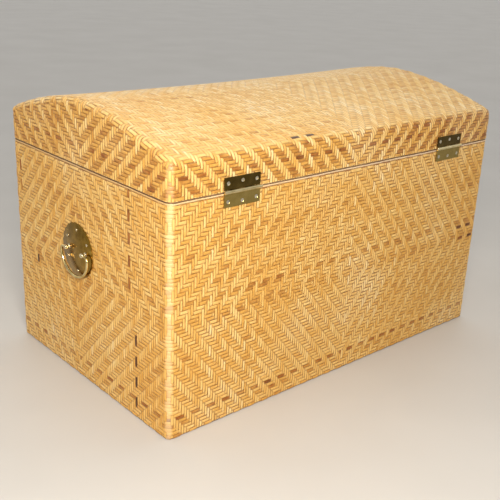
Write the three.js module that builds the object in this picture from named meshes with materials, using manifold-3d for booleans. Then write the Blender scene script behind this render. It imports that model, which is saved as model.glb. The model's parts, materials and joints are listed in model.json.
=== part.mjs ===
// A wicker storage trunk: a plywood box under a skin of twill-woven rattan, with a low barrel
// lid on two brass butt hinges, a brass drop handle on each end and a split lock plate in front.
// Millimetres, +Z up, +X along the trunk, the hinges on the +Y side.
// The origin is the centre of the base, on the surface that the trunk stands on.

import * as THREE from 'three';
import { mergeVertices } from 'three/addons/utils/BufferGeometryUtils.js';
import Module from 'manifold-3d';

// Driving dimensions
const LENGTH = 840; // along X, over the weave
const DEPTH = 520; // along Y, over the weave
const BODY_HEIGHT = 419;
const SEAM = 1; // open line between the body and the lid
const LID_SIDE = 62; // straight side of the lid, up to the foot of the crown
const CROWN_AT_ENDS = 54; // rise of the crown above the lid's sides
const CROWN_IN_MIDDLE = 46; // the top sags a little half way along
const CROWN_POWER = 1.7;
const CORNER_RADIUS = 12;
const EDGE_SOFTNESS = 14; // rounding of the lid's top edges
const WEAVE = 3;
const BOARD = 9;
const TOP_BOARD = 4;
const RIM_BINDING_HEIGHT = 5;
const WEAVE_LIFT = 1; // the weave stops this far above the floor
const GAP = 0.3; // between pieces that touch
const CLEAR_OF_FACE = 2; // a hole is cut from this far outside the face
const CURVE_SEGMENTS = 4; // for each arc of an outline

const HALF_LENGTH = LENGTH / 2;
const HALF_DEPTH = DEPTH / 2;
const LID_BASE = BODY_HEIGHT + SEAM;
const BOARD_INSET = WEAVE + GAP;
const TOP_INSET = BOARD_INSET + TOP_BOARD;
const TALLEST = LID_BASE + LID_SIDE + CROWN_AT_ENDS + 10; // above everything

// Hinges
const HINGE_CENTRES_X = [276, -276];
const HINGE_LENGTH = 76;
const LEAF_THICKNESS = 1.8;
const LID_LEAF_REACH = 24; // from the pin to the leaf's free edge
const BODY_LEAF_REACH = 25.6;
const KNUCKLE_RADIUS = 3;
const HINGE_PIN_RADIUS = 1.5;
const HINGE_PIN_STUB = 4.5; // how far the pin sticks out at one end
const BODY_KNUCKLE_LENGTH = 13;
const PIN_HEIGHT = BODY_HEIGHT + SEAM / 2;
const LEAF_BACK_Y = HALF_DEPTH + GAP;
const PIN_Y = LEAF_BACK_Y + KNUCKLE_RADIUS;
const SCREW_SPACING = 30;
const MIDDLE_SCREW_STEP = 1.7; // the middle screw sits further from the pin
const LID_SCREW_DROP = 14.3; // from the pin to the lid leaf's outer screws
const BODY_SCREW_DROP = 16.4;
const SCREW_HEAD_RADIUS = 3.4;
const SCREW_SHANK_RADIUS = 1.5;
const SCREW_LENGTH = 10;

// End handles
const HANDLE_CENTRE = { y: -19, z: 258.5 };
const PLATE_RADIUS = 52.5;
const PLATE_THICKNESS = 1.2;
const SCALLOPS = 24;
const SCALLOP_DEPTH = 1.8;
const NAIL_CIRCLE_RADIUS = 39;
const NAIL_ANGLES = [30, 90, 150, 210, 270, 330]; // degrees from +Y towards +Z
const NAIL_HEAD_RADIUS = 2.6;
const NAIL_HEAD_HEIGHT = 1.3;
const NAIL_SHANK_RADIUS = 1;
const NAIL_LENGTH = 9;
const POST_OFFSET = 28.5; // each post, from the plate's centre
const POST_HEAD_RADIUS = 4.6;
const POST_SHANK_RADIUS = 2.4;
const POST_SHANK_LENGTH = 11;
const BAIL_STANDOFF = 7; // the bail's axis, off the plate's face
const BAIL_HALF_WIDTH = 45.5;
const BAIL_DROP = 48;
const BAIL_CORNER = 9;
const BAIL_INNER_END = 21;
const BAIL_RADIUS = 2.6;

// Front closure
const CLASP_SEAM = 1.5; // from the pin line to each half of the plate
const CLASP_NAIL_ANGLES = [40, 140]; // on each half, degrees from +X
const EYE_HEIGHT = 7; // each eye, from the pin line
const EYE_RADIUS = 7;
const EYE_STANDOFF = 3; // the round part of the eye starts this far off the plate
const EYE_WIRE_RADIUS = 1.7;

const rattan = new THREE.MeshStandardMaterial({ color: 0xd9a650, roughness: 0.55, metalness: 0 });
const paleRattan = new THREE.MeshStandardMaterial({ color: 0xe9c79b, roughness: 0.5, metalness: 0 });
const plywood = new THREE.MeshStandardMaterial({ color: 0xc9a06a, roughness: 0.75, metalness: 0 });
const brass = new THREE.MeshStandardMaterial({ color: 0xb3924a, roughness: 0.28, metalness: 1 });

const wasm = await Module();
wasm.setup();

// Joining and cutting

function toSolid(geometry) {
  const bare = geometry.clone();
  bare.deleteAttribute('normal');
  bare.deleteAttribute('uv');
  const merged = mergeVertices(bare, 1e-4);
  return new wasm.Manifold(new wasm.Mesh({
    numProp: 3,
    vertProperties: new Float32Array(merged.attributes.position.array),
    triVerts: new Uint32Array(merged.index.array),
  }));
}

function toGeometry(solid) {
  const mesh = solid.getMesh();
  const geometry = new THREE.BufferGeometry();
  geometry.setAttribute('position', new THREE.BufferAttribute(mesh.vertProperties, 3));
  geometry.setIndex(new THREE.BufferAttribute(mesh.triVerts, 1));
  geometry.computeVertexNormals();
  return geometry;
}

function combine(operation, base, others) {
  const joined = others.reduce((solid, other) => solid[operation](toSolid(other)), toSolid(base));
  return toGeometry(joined);
}

const cut = (base, tools) => combine('subtract', base, tools);
const join = (base, others) => combine('add', base, others);
const overlap = (base, others) => combine('intersect', base, others);

// Basic shapes

function block(low, high) {
  const size = high.map((value, axis) => value - low[axis]);
  const middle = high.map((value, axis) => (value + low[axis]) / 2);
  return new THREE.BoxGeometry(...size).translate(...middle);
}

function prism(outline, bottom, top) {
  const settings = { depth: top - bottom, bevelEnabled: false, curveSegments: CURVE_SEGMENTS };
  return new THREE.ExtrudeGeometry(outline, settings).translate(0, 0, bottom);
}

function roundedPlan(inset) {
  const x = HALF_LENGTH - inset;
  const y = HALF_DEPTH - inset;
  const radius = Math.max(CORNER_RADIUS - inset, 0.5);
  const plan = new THREE.Shape();
  plan.absarc(x - radius, y - radius, radius, 0, Math.PI / 2);
  plan.absarc(radius - x, y - radius, radius, Math.PI / 2, Math.PI);
  plan.absarc(radius - x, radius - y, radius, Math.PI, 1.5 * Math.PI);
  plan.absarc(x - radius, radius - y, radius, 1.5 * Math.PI, 2 * Math.PI);
  plan.closePath();
  return plan;
}

function turned(profile, segments) {
  const points = profile.map(([radius, height]) => new THREE.Vector2(radius, height));
  return new THREE.LatheGeometry(points, segments);
}

// A rod along X, with its ends slightly chamfered
function rodAlongX(radius, start, end) {
  const chamfer = radius * 0.25;
  const rod = turned([
    [0, start],
    [radius - chamfer, start],
    [radius, start + chamfer],
    [radius, end - chamfer],
    [radius - chamfer, end],
    [0, end],
  ], 10);
  return rod.rotateZ(-Math.PI / 2);
}

// A round wire through a list of points
function wire(points, radius, steps) {
  const section = new THREE.Shape();
  section.absarc(0, 0, radius, 0, 2 * Math.PI);
  const extrudePath = new THREE.CatmullRomCurve3(points, false, 'centripetal');
  const settings = { extrudePath, steps, curveSegments: CURVE_SEGMENTS, bevelEnabled: false };
  return new THREE.ExtrudeGeometry(section, settings);
}

// A plain rod for drilling, along a unit direction from a point
function drill(radius, from, direction, length, segments = 8) {
  const rod = new THREE.CylinderGeometry(radius, radius, length, segments).translate(0, length / 2, 0);
  const turn = new THREE.Quaternion().setFromUnitVectors(new THREE.Vector3(0, 1, 0), direction);
  return rod.applyQuaternion(turn).translate(from.x, from.y, from.z);
}

// The lid's outer shape: a crown along X over a rounded rectangle, with soft top edges.
// An inset gives the same shape that much further in.

function crownRise(x, y) {
  const along = Math.abs(x) / HALF_LENGTH;
  const across = Math.min(Math.abs(y) / HALF_DEPTH, 1);
  const peak = CROWN_IN_MIDDLE + (CROWN_AT_ENDS - CROWN_IN_MIDDLE) * along ** 2;
  return peak * (1 - across ** CROWN_POWER);
}

function edgeDrop(distance, radius) {
  const into = Math.min(Math.max(radius - distance, 0), radius);
  return radius - Math.sqrt(radius ** 2 - into ** 2);
}

function lidHeight(x, y, inset) {
  const radius = EDGE_SOFTNESS - inset;
  const endDrop = edgeDrop(HALF_LENGTH - inset - Math.abs(x), radius);
  const sideDrop = edgeDrop(HALF_DEPTH - inset - Math.abs(y), radius);
  return LID_BASE + LID_SIDE - inset + crownRise(x, y) - Math.max(endDrop, sideDrop);
}

// Grid lines from the middle to past the edge, close together where the edge is rounded
function stations(half, inset, spans) {
  const radius = EDGE_SOFTNESS - inset;
  const flat = half - EDGE_SOFTNESS;
  const inner = Array.from({ length: spans }, (_, i) => (flat * i) / spans);
  const round = [0, 30, 60, 90].map((angle) => flat + radius * Math.sin(THREE.MathUtils.degToRad(angle)));
  const positive = [...inner, ...round, half + 10];
  const negative = positive.slice(1).reverse().map((value) => -value);
  return [...negative, ...positive];
}

// Everything under the lid's surface at an inset, down to below the lid
function belowLid(inset) {
  const xs = stations(HALF_LENGTH, inset, 3);
  const ys = stations(HALF_DEPTH, inset, 5);
  const bottom = LID_BASE - 20;
  const position = [];
  const index = [];
  for (const layer of ['top', 'bottom']) {
    for (const x of xs) {
      for (const y of ys) {
        position.push(x, y, layer === 'top' ? lidHeight(x, y, inset) : bottom);
      }
    }
  }
  const layerSize = xs.length * ys.length;
  const at = (i, j, below = 0) => below * layerSize + i * ys.length + j;
  const quad = (a, b, c, d) => index.push(a, b, c, a, c, d);
  for (let i = 0; i + 1 < xs.length; i += 1) {
    for (let j = 0; j + 1 < ys.length; j += 1) {
      quad(at(i, j), at(i + 1, j), at(i + 1, j + 1), at(i, j + 1));
      quad(at(i, j, 1), at(i, j + 1, 1), at(i + 1, j + 1, 1), at(i + 1, j, 1));
    }
  }
  const lastX = xs.length - 1;
  const lastY = ys.length - 1;
  for (let i = 0; i < lastX; i += 1) {
    quad(at(i, 0), at(i, 0, 1), at(i + 1, 0, 1), at(i + 1, 0));
    quad(at(i + 1, lastY), at(i + 1, lastY, 1), at(i, lastY, 1), at(i, lastY));
  }
  for (let j = 0; j < lastY; j += 1) {
    quad(at(0, j + 1), at(0, j + 1, 1), at(0, j, 1), at(0, j));
    quad(at(lastX, j), at(lastX, j, 1), at(lastX, j + 1, 1), at(lastX, j + 1));
  }
  const geometry = new THREE.BufferGeometry();
  geometry.setAttribute('position', new THREE.Float32BufferAttribute(position, 3));
  geometry.setIndex(index);
  return geometry;
}

// Fasteners: each has a place on a face, and the direction that points out of the face

const ALONG_X = new THREE.Vector3(1, 0, 0);
const OUT_BACK = new THREE.Vector3(0, 1, 0);
const OUT_FRONT = new THREE.Vector3(0, -1, 0);

function hingeScrews(centreX, leaf) {
  const side = leaf === 'lid' ? 1 : -1;
  const drop = leaf === 'lid' ? LID_SCREW_DROP : BODY_SCREW_DROP;
  return [-1, 0, 1].map((step) => {
    const height = drop + (step === 0 ? MIDDLE_SCREW_STEP : 0);
    const place = new THREE.Vector3(
      centreX + step * SCREW_SPACING,
      LEAF_BACK_Y + LEAF_THICKNESS,
      PIN_HEIGHT + side * height,
    );
    return { place, out: OUT_BACK };
  });
}

function handlePoint(end, across, up, standoff) {
  return new THREE.Vector3(
    end * (HALF_LENGTH + standoff),
    HANDLE_CENTRE.y + across,
    HANDLE_CENTRE.z + up,
  );
}

function circlePoint(angle, radius) {
  const turn = THREE.MathUtils.degToRad(angle);
  return { across: radius * Math.cos(turn), up: radius * Math.sin(turn) };
}

function handleNails(end) {
  const out = new THREE.Vector3(end, 0, 0);
  return NAIL_ANGLES.map((angle) => {
    const { across, up } = circlePoint(angle, NAIL_CIRCLE_RADIUS);
    return { place: handlePoint(end, across, up, GAP + PLATE_THICKNESS), out };
  });
}

function claspNails(side) {
  return CLASP_NAIL_ANGLES.map((angle) => {
    const { across, up } = circlePoint(angle, NAIL_CIRCLE_RADIUS);
    const place = new THREE.Vector3(
      across,
      -(HALF_DEPTH + GAP + PLATE_THICKNESS),
      PIN_HEIGHT + side * up,
    );
    return { place, out: OUT_FRONT };
  });
}

const BODY_SCREWS = HINGE_CENTRES_X.flatMap((x) => hingeScrews(x, 'body'));
const LID_SCREWS = HINGE_CENTRES_X.flatMap((x) => hingeScrews(x, 'lid'));
const HANDLE_NAILS = [1, -1].flatMap((end) => handleNails(end));

// Holes for a set of fasteners, from outside to their full depth
function holes(fasteners, radius, depth) {
  return fasteners.map(({ place, out }) => {
    const start = place.clone().addScaledVector(out, CLEAR_OF_FACE);
    return drill(radius, start, out.clone().negate(), CLEAR_OF_FACE + depth + GAP);
  });
}

const screwHoles = (screws) => holes(screws, SCREW_SHANK_RADIUS + GAP, SCREW_LENGTH);
const nailHoles = (nails) => holes(nails, NAIL_SHANK_RADIUS + GAP, NAIL_LENGTH);

function postHoles(end) {
  const inward = new THREE.Vector3(-end, 0, 0);
  return [1, -1].map((side) => {
    const start = handlePoint(end, side * POST_OFFSET, 0, CLEAR_OF_FACE);
    return drill(POST_SHANK_RADIUS + GAP, start, inward, CLEAR_OF_FACE + POST_SHANK_LENGTH + GAP, 10);
  });
}

function screw({ place, out }) {
  const taper = SCREW_HEAD_RADIUS - SCREW_SHANK_RADIUS;
  const blank = turned([
    [0, -SCREW_LENGTH],
    [SCREW_SHANK_RADIUS * 0.5, 1 - SCREW_LENGTH],
    [SCREW_SHANK_RADIUS, 3 - SCREW_LENGTH],
    [SCREW_SHANK_RADIUS, -taper],
    [SCREW_HEAD_RADIUS, 0],
    [0, 0.5],
  ], 10);
  const slot = block([-SCREW_HEAD_RADIUS - 1, -0.4, -0.4], [SCREW_HEAD_RADIUS + 1, 1, 0.4]);
  const slotAngle = place.x * 0.7; // every slot has stopped at its own angle
  const slotted = cut(blank, [slot.rotateY(slotAngle)]);
  return seat(slotted, place, out);
}

function nail({ place, out }) {
  const head = turned([
    [0, -NAIL_LENGTH],
    [NAIL_SHANK_RADIUS, 1.5 - NAIL_LENGTH],
    [NAIL_SHANK_RADIUS, GAP],
    [NAIL_HEAD_RADIUS, GAP],
    [NAIL_HEAD_RADIUS * 0.75, GAP + NAIL_HEAD_HEIGHT * 0.7],
    [0, GAP + NAIL_HEAD_HEIGHT],
  ], 8);
  return seat(head, place, out);
}

// Turns a shape made along Y to face out of the trunk, and puts it in its place
function seat(geometry, place, out) {
  const turn = new THREE.Quaternion().setFromUnitVectors(new THREE.Vector3(0, 1, 0), out);
  return geometry.applyQuaternion(turn).translate(place.x, place.y, place.z);
}

// The body

function wallAlongX(side) {
  const outer = HALF_DEPTH - BOARD_INSET;
  const near = side * outer;
  const far = side * (outer - BOARD);
  const low = [-HALF_LENGTH, Math.min(near, far), BOARD + GAP];
  const high = [HALF_LENGTH, Math.max(near, far), BODY_HEIGHT];
  const plan = prism(roundedPlan(BOARD_INSET), 0, BODY_HEIGHT + 10);
  const wall = overlap(block(low, high), [plan]);
  const fasteners = side > 0 ? screwHoles(BODY_SCREWS) : nailHoles(claspNails(-1));
  return cut(wall, fasteners);
}

function wallAlongY(end) {
  const outer = HALF_LENGTH - BOARD_INSET;
  const halfWidth = HALF_DEPTH - BOARD_INSET - BOARD - GAP;
  const near = end * outer;
  const far = end * (outer - BOARD);
  const low = [Math.min(near, far), -halfWidth, BOARD + GAP];
  const high = [Math.max(near, far), halfWidth, BODY_HEIGHT];
  return cut(block(low, high), [...nailHoles(handleNails(end)), ...postHoles(end)]);
}

function bodyWeave() {
  const top = BODY_HEIGHT - RIM_BINDING_HEIGHT - GAP;
  const outer = prism(roundedPlan(0), WEAVE_LIFT, top);
  const inner = prism(roundedPlan(WEAVE), -1, top + 1);
  return cut(outer, [
    inner,
    ...screwHoles(BODY_SCREWS),
    ...nailHoles(HANDLE_NAILS),
    ...nailHoles(claspNails(-1)),
    ...postHoles(1),
    ...postHoles(-1),
  ]);
}

function bodyRim() {
  const low = BODY_HEIGHT - RIM_BINDING_HEIGHT;
  const outer = prism(roundedPlan(0), low, BODY_HEIGHT);
  return cut(outer, [prism(roundedPlan(WEAVE), low - 1, BODY_HEIGHT + 1)]);
}

// The lid

function lidEnd(end) {
  const outer = end * HALF_LENGTH;
  const inner = end * (HALF_LENGTH - BOARD_INSET - BOARD);
  const low = [Math.min(outer, inner), -HALF_DEPTH, LID_BASE];
  const high = [Math.max(outer, inner), HALF_DEPTH, TALLEST];
  const plan = prism(roundedPlan(BOARD_INSET), LID_BASE - 1, TALLEST);
  return overlap(belowLid(BOARD_INSET), [plan, block(low, high)]);
}

function lidRail(side) {
  const halfSpan = HALF_LENGTH - BOARD_INSET - BOARD - GAP;
  const outer = side * (HALF_DEPTH - BOARD_INSET);
  const inner = side * (HALF_DEPTH - BOARD_INSET - BOARD);
  const low = [-halfSpan, Math.min(outer, inner), LID_BASE];
  const high = [halfSpan, Math.max(outer, inner), TALLEST];
  const rail = overlap(belowLid(BOARD_INSET), [block(low, high)]);
  const fasteners = side > 0 ? screwHoles(LID_SCREWS) : nailHoles(claspNails(1));
  return cut(rail, fasteners);
}

function lidTop() {
  const halfSpanX = HALF_LENGTH - BOARD_INSET - BOARD - GAP;
  const halfSpanY = HALF_DEPTH - BOARD_INSET - BOARD - GAP;
  const bay = block([-halfSpanX, -halfSpanY, LID_BASE], [halfSpanX, halfSpanY, TALLEST]);
  const sheet = cut(belowLid(BOARD_INSET), [belowLid(TOP_INSET)]);
  return overlap(sheet, [bay]);
}

function lidWeave() {
  const outer = overlap(belowLid(0), [prism(roundedPlan(0), LID_BASE, TALLEST)]);
  const inner = overlap(belowLid(WEAVE), [prism(roundedPlan(WEAVE), LID_BASE - 10, TALLEST)]);
  return cut(outer, [inner, ...screwHoles(LID_SCREWS), ...nailHoles(claspNails(1))]);
}

// The hinges: the body's leaf has three knuckles, the lid's has the two between them

function knuckleSpans(leaf) {
  const free = HINGE_LENGTH - 3 * BODY_KNUCKLE_LENGTH - 4 * GAP;
  const lidKnuckleLength = free / 2;
  const spans = { body: [], lid: [] };
  let start = -HINGE_LENGTH / 2;
  for (let i = 0; i < 5; i += 1) {
    const owner = i % 2 === 0 ? 'body' : 'lid';
    const length = owner === 'body' ? BODY_KNUCKLE_LENGTH : lidKnuckleLength;
    spans[owner].push([start, start + length]);
    start += length + GAP;
  }
  return spans[leaf];
}

function countersink({ place, out }) {
  const top = SCREW_HEAD_RADIUS + GAP;
  const bottom = top - LEAF_THICKNESS;
  const cone = new THREE.CylinderGeometry(top + 1, bottom - 1, LEAF_THICKNESS + 2, 10);
  return seat(cone.translate(0, -LEAF_THICKNESS / 2, 0), place, out);
}

function hingeLeaf(centreX, leaf) {
  const side = leaf === 'lid' ? 1 : -1;
  const reach = leaf === 'lid' ? LID_LEAF_REACH : BODY_LEAF_REACH;
  const front = LEAF_BACK_Y + LEAF_THICKNESS;
  const clearOfPin = KNUCKLE_RADIUS + GAP;
  const heights = [PIN_HEIGHT + side * clearOfPin, PIN_HEIGHT + side * reach];
  const plate = block(
    [centreX - HINGE_LENGTH / 2, LEAF_BACK_Y, Math.min(...heights)],
    [centreX + HINGE_LENGTH / 2, front, Math.max(...heights)],
  );
  const spans = knuckleSpans(leaf);
  const knuckles = spans.flatMap(([start, end]) => {
    const barrelStart = new THREE.Vector3(centreX + start, PIN_Y, PIN_HEIGHT);
    const barrel = drill(KNUCKLE_RADIUS, barrelStart, ALONG_X, end - start, 12);
    const tabEnds = [PIN_HEIGHT, PIN_HEIGHT + side * (clearOfPin + 1)];
    const tab = block(
      [centreX + start, LEAF_BACK_Y, Math.min(...tabEnds)],
      [centreX + end, front, Math.max(...tabEnds)],
    );
    return [barrel, tab];
  });
  const boreStart = new THREE.Vector3(centreX - HINGE_LENGTH, PIN_Y, PIN_HEIGHT);
  const bore = drill(HINGE_PIN_RADIUS + GAP, boreStart, ALONG_X, 2 * HINGE_LENGTH, 10);
  const solid = join(plate, knuckles);
  const sinks = hingeScrews(centreX, leaf).map(countersink);
  return cut(solid, [bore, ...sinks]);
}

function hingePin(centreX) {
  const start = centreX - HINGE_LENGTH / 2 - HINGE_PIN_STUB;
  const end = centreX + HINGE_LENGTH / 2 + 0.6;
  return rodAlongX(HINGE_PIN_RADIUS, start, end).translate(0, PIN_Y, PIN_HEIGHT);
}

// The end handles

function scallopedOutline() {
  const outline = new THREE.Shape();
  const steps = SCALLOPS * 4;
  for (let i = 0; i < steps; i += 1) {
    const angle = (2 * Math.PI * i) / steps;
    const bulge = Math.abs(Math.sin((angle * SCALLOPS) / 2));
    const radius = PLATE_RADIUS - SCALLOP_DEPTH * (1 - bulge);
    outline.lineTo(radius * Math.cos(angle), radius * Math.sin(angle));
  }
  outline.closePath();
  return outline;
}

// A scalloped plate whose face looks along +Z, standing on Z = 0
const scallopedPlate = () => prism(scallopedOutline(), 0, PLATE_THICKNESS);

function handlePlate(end) {
  const plate = scallopedPlate().rotateY((end * Math.PI) / 2);
  const placed = plate.translate(end * (HALF_LENGTH + GAP), HANDLE_CENTRE.y, HANDLE_CENTRE.z);
  return cut(placed, [...nailHoles(handleNails(end)), ...postHoles(end)]);
}

function handlePost(end, side) {
  const headCentre = PLATE_THICKNESS + GAP + BAIL_STANDOFF;
  const head = Array.from({ length: 5 }, (_, i) => {
    const angle = THREE.MathUtils.degToRad(-55 + (145 * i) / 4);
    return [POST_HEAD_RADIUS * Math.cos(angle), headCentre + POST_HEAD_RADIUS * Math.sin(angle)];
  });
  head[4][0] = 0;
  const blank = turned([
    [0, -POST_SHANK_LENGTH],
    [POST_SHANK_RADIUS, -POST_SHANK_LENGTH],
    [POST_SHANK_RADIUS, head[0][1] - 1],
    ...head,
  ], 10);
  const out = new THREE.Vector3(end, 0, 0);
  const placed = seat(blank, handlePoint(end, side * POST_OFFSET, 0, 0), out);
  const eyeStart = handlePoint(end, side * POST_OFFSET - 10, 0, headCentre);
  return cut(placed, [drill(BAIL_RADIUS + GAP, eyeStart, new THREE.Vector3(0, 1, 0), 20, 12)]);
}

// The bail's middle line hangs in the plane through its axis: in through each post, round a
// corner and down to the bottom of the D
function bailPoints(end) {
  const points = [];
  const add = (across, up) => {
    points.push(handlePoint(end, across, up, GAP + PLATE_THICKNESS + BAIL_STANDOFF));
  };
  const straightEnd = BAIL_HALF_WIDTH - BAIL_CORNER;
  const half = [[BAIL_INNER_END, 0], [(BAIL_INNER_END + straightEnd) / 2, 0]];
  for (const angle of [0, 30, 60, 90]) {
    const { across, up } = circlePoint(90 - angle, BAIL_CORNER);
    half.push([straightEnd + across, up - BAIL_CORNER]);
  }
  const bow = BAIL_DROP - BAIL_CORNER;
  for (const angle of [18, 36, 54, 72]) {
    const turn = THREE.MathUtils.degToRad(angle);
    half.push([BAIL_HALF_WIDTH * Math.cos(turn), -BAIL_CORNER - bow * Math.sin(turn)]);
  }
  half.forEach(([across, up]) => add(across, up));
  add(0, -BAIL_DROP);
  [...half].reverse().forEach(([across, up]) => add(-across, up));
  return points;
}

// The front closure: a scalloped plate split along the seam, with a wire eye through each half,
// so that a padlock or a peg passes down through both

const CLASP_FACE_Y = -(HALF_DEPTH + GAP + PLATE_THICKNESS);

function eyeLegHoles(side) {
  return [1, -1].map((leg) => {
    const height = PIN_HEIGHT + side * EYE_HEIGHT;
    const start = new THREE.Vector3(leg * EYE_RADIUS, CLASP_FACE_Y - CLEAR_OF_FACE, height);
    return drill(EYE_WIRE_RADIUS + GAP, start, OUT_BACK, CLEAR_OF_FACE + 2 * PLATE_THICKNESS);
  });
}

function claspHalf(side) {
  const disc = scallopedPlate().rotateX(Math.PI / 2).translate(0, -(HALF_DEPTH + GAP), PIN_HEIGHT);
  const heights = [PIN_HEIGHT + side * CLASP_SEAM, PIN_HEIGHT + side * 2 * PLATE_RADIUS];
  const half = overlap(disc, [block(
    [-2 * PLATE_RADIUS, -HALF_DEPTH - 10, Math.min(...heights)],
    [2 * PLATE_RADIUS, -HALF_DEPTH + 10, Math.max(...heights)],
  )]);
  return cut(half, [...nailHoles(claspNails(side)), ...eyeLegHoles(side)]);
}

// A level loop of wire whose two legs are let into the plate
function claspEye(side) {
  const legEnd = CLASP_FACE_Y + PLATE_THICKNESS - GAP;
  const height = PIN_HEIGHT + side * EYE_HEIGHT;
  const points = [new THREE.Vector3(-EYE_RADIUS, legEnd, height)];
  for (let angle = 0; angle <= 180; angle += 30) {
    const turn = THREE.MathUtils.degToRad(angle);
    const out = CLASP_FACE_Y - EYE_STANDOFF - EYE_RADIUS * Math.sin(turn);
    points.push(new THREE.Vector3(-EYE_RADIUS * Math.cos(turn), out, height));
  }
  points.push(new THREE.Vector3(EYE_RADIUS, legEnd, height));
  return wire(points, EYE_WIRE_RADIUS, 14);
}

// The assembly

const trunk = new THREE.Group();

function addPiece(name, geometry, material) {
  const mesh = new THREE.Mesh(geometry, material);
  mesh.name = name;
  trunk.add(mesh);
}

function addBody() {
  addPiece('bottom_board', prism(roundedPlan(BOARD_INSET), 0, BOARD), plywood);
  addPiece('body_front_board', wallAlongX(-1), plywood);
  addPiece('body_back_board', wallAlongX(1), plywood);
  addPiece('body_left_board', wallAlongY(-1), plywood);
  addPiece('body_right_board', wallAlongY(1), plywood);
  addPiece('body_weave', bodyWeave(), rattan);
  addPiece('body_rim_binding', bodyRim(), paleRattan);
}

function addLid() {
  addPiece('lid_front_rail', lidRail(-1), plywood);
  addPiece('lid_back_rail', lidRail(1), plywood);
  addPiece('lid_left_end', lidEnd(-1), plywood);
  addPiece('lid_right_end', lidEnd(1), plywood);
  addPiece('lid_top_board', lidTop(), plywood);
  addPiece('lid_weave', lidWeave(), rattan);
}

function addHinges() {
  HINGE_CENTRES_X.forEach((centreX, i) => {
    const name = `hinge_${i + 1}`;
    for (const leaf of ['body', 'lid']) {
      addPiece(`${name}_${leaf}_leaf`, hingeLeaf(centreX, leaf), brass);
      hingeScrews(centreX, leaf).forEach((place, j) => {
        addPiece(`${name}_${leaf}_screw_${j + 1}`, screw(place), brass);
      });
    }
    addPiece(`${name}_pin`, hingePin(centreX), brass);
  });
}

function addHandle(name, end) {
  addPiece(`${name}_plate`, handlePlate(end), brass);
  addPiece(`${name}_front_post`, handlePost(end, -1), brass);
  addPiece(`${name}_back_post`, handlePost(end, 1), brass);
  addPiece(`${name}_bail`, wire(bailPoints(end), BAIL_RADIUS, 38), brass);
  handleNails(end).forEach((place, i) => {
    addPiece(`${name}_nail_${i + 1}`, nail(place), brass);
  });
}

function addClasp() {
  for (const [owner, side] of [['lid', 1], ['body', -1]]) {
    addPiece(`clasp_${owner}_plate`, claspHalf(side), brass);
    addPiece(`clasp_${owner}_eye`, claspEye(side), brass);
    claspNails(side).forEach((place, i) => {
      addPiece(`clasp_${owner}_nail_${i + 1}`, nail(place), brass);
    });
  }
}

addBody();
addLid();
addHinges();
addHandle('right_handle', 1);
addHandle('left_handle', -1);
addClasp();

export default trunk;
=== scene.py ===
"""A wicker storage trunk: twill-woven rattan over a plywood box, with brass fittings.

Metres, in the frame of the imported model: +X along the trunk, the hinges on the +Y side, and the
origin at the centre of the base. Each rattan strand is a real strip that passes over and under
the strands that it crosses.
"""
import json
import math

import bpy
import numpy as np
from mathutils import Matrix, Vector

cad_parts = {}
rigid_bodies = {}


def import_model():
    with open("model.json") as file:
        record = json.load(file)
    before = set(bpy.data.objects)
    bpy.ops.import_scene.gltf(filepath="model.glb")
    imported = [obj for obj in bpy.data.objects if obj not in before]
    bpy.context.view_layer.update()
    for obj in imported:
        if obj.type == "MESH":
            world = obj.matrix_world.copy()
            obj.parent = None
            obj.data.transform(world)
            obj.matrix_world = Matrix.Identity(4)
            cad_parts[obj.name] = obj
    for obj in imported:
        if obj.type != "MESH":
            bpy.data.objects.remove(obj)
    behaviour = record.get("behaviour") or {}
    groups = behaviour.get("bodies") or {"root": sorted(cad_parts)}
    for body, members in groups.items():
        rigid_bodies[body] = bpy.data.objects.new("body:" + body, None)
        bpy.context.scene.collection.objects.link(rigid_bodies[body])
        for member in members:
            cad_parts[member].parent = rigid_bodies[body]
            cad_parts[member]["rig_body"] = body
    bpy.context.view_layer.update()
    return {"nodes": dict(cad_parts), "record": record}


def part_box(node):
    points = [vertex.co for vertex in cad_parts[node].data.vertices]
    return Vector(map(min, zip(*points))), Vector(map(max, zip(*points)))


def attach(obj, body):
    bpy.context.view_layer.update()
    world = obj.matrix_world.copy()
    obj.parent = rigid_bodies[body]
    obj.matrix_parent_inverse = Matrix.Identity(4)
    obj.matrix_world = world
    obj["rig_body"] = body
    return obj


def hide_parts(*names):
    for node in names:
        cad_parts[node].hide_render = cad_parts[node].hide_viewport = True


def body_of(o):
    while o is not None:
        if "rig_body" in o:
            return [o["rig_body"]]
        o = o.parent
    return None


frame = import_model()
MM = 0.001

# The surface that the weave covers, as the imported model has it
BODY_LOW, BODY_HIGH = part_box("body_weave")
LID_LOW, LID_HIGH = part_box("lid_weave")
RIM_LOW, RIM_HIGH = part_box("body_rim_binding")
HALF_LENGTH = BODY_HIGH.x
HALF_DEPTH = BODY_HIGH.y
CORNER_RADIUS = 12 * MM
EDGE_RADIUS = 14 * MM  # the lid's soft top edges
LID_SIDE = 62 * MM
CROWN_AT_ENDS = 54 * MM
CROWN_IN_MIDDLE = 46 * MM
CROWN_POWER = 1.7
SHOULDER = LID_LOW.z + LID_SIDE

# The weave: each strand passes over three and under three
TWILL_LIFTS = np.array([0.8, 1.05, 0.8, -0.8, -1.05, -0.8])
LIFT = 0.7 * MM  # how far a strand rises or dips from the middle
MIDDLE_DEPTH = 1.45 * MM  # the middle of the weave, under its outer surface
STRIP_THICKNESS = 1.3 * MM
STRIP_SECTION = [(-1, -0.5), (-0.94, 0.0), (-0.62, 0.4), (0, 0.5), (0.62, 0.4), (0.94, 0.0), (1, -0.5)]
MOST_TRIANGLES = 180000  # in one piece
WEFT_WIDTH = 0.93  # of the distance between strands
STAKE_WIDTH = 0.9

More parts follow.
